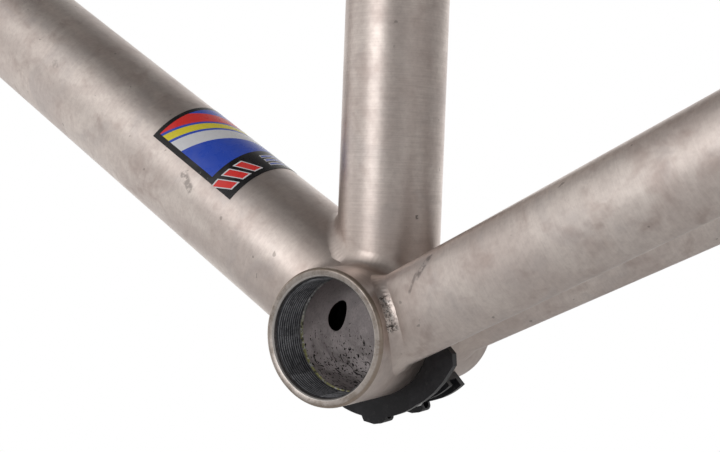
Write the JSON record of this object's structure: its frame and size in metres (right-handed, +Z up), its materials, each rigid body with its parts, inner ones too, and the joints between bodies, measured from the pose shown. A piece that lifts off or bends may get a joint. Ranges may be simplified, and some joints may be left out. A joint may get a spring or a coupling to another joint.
{
  "type": "bicycle frame",
  "caption": "Diamond road bicycle frame of welded titanium tubes with a threaded bottom bracket shell, cable guide, dropouts and cable adjusters.",
  "frame": {"origin": "centre of the bottom bracket shell, on its axis", "axes": "+X towards the front wheel, +Y towards the rider's left along the shell's axis, +Z up"},
  "size_m": [0.8886, 0.1486, 0.6096],
  "materials": {
    "titanium": "satin brushed titanium, warm grey",
    "titanium_shell": "turned titanium, bright at the cut faces",
    "guide_plastic": "matte black moulded plastic",
    "knob_plastic": "matte black moulded plastic",
    "screw_steel": "stainless steel",
    "collar_aluminium": "satin anodised aluminium",
    "stop_aluminium": "satin cast aluminium",
    "decal_film": "printed gloss film in blue, white, red and yellow with a black border"
  },
  "bodies": {
    "frame": {"bottle_bosses": "titanium", "bottom_bracket_shell": "titanium_shell", "brake_bolt_boss": "titanium", "brake_bridge": "titanium", "brake_cable_stops": "titanium", "cable_guide": "guide_plastic", "cable_guide_screw": "screw_steel", "cable_stop_bolts": "screw_steel", "cable_stop_left": "stop_aluminium", "cable_stop_right": "stop_aluminium", "chainstay_bridge": "titanium", "chainstay_left": "titanium", "chainstay_right": "titanium", "derailleur_cable_stop": "titanium", "down_tube": "titanium", "down_tube_decal": "decal_film", "dropout_left": "titanium", "dropout_right": "titanium", "head_tube": "titanium", "seat_collar": "collar_aluminium", "seat_collar_bolt": "screw_steel", "seat_tube": "titanium", "seatpost_sleeve": "titanium", "seatstay_left": "titanium", "seatstay_right": "titanium", "shifter_bosses": "titanium", "top_tube": "titanium"},
    "knob_left": {"adjuster_knob_left": "knob_plastic"},
    "barrel_left": {"adjuster_barrel_left": "screw_steel"},
    "knob_right": {"adjuster_knob_right": "knob_plastic"},
    "barrel_right": {"adjuster_barrel_right": "screw_steel"}
  },
  "joints": [
    {"name": "knob_left_turn", "type": "hinge", "parent": "frame", "child": "knob_left", "pos_m": [0.30905, 0.0285, 0.35428], "axis": [-0.6748, 0, -0.738], "range_deg": [0, 3601]},
    {"name": "barrel_left_slide", "type": "slide", "parent": "frame", "child": "barrel_left", "axis": [0.6748, 0, 0.738], "range_m": [0, 0.008]},
    {"name": "knob_right_turn", "type": "hinge", "parent": "frame", "child": "knob_right", "pos_m": [0.30905, -0.0285, 0.35428], "axis": [-0.6748, 0, -0.738], "range_deg": [0, 3601]},
    {"name": "barrel_right_slide", "type": "slide", "parent": "frame", "child": "barrel_right", "axis": [0.6748, 0, 0.738], "range_m": [0, 0.008]}
  ],
  "couplings": [
    {"joint": "knob_left_turn", "follows": "barrel_left_slide", "rad_per_m": 7854},
    {"joint": "knob_right_turn", "follows": "barrel_right_slide", "rad_per_m": 7854}
  ]
}
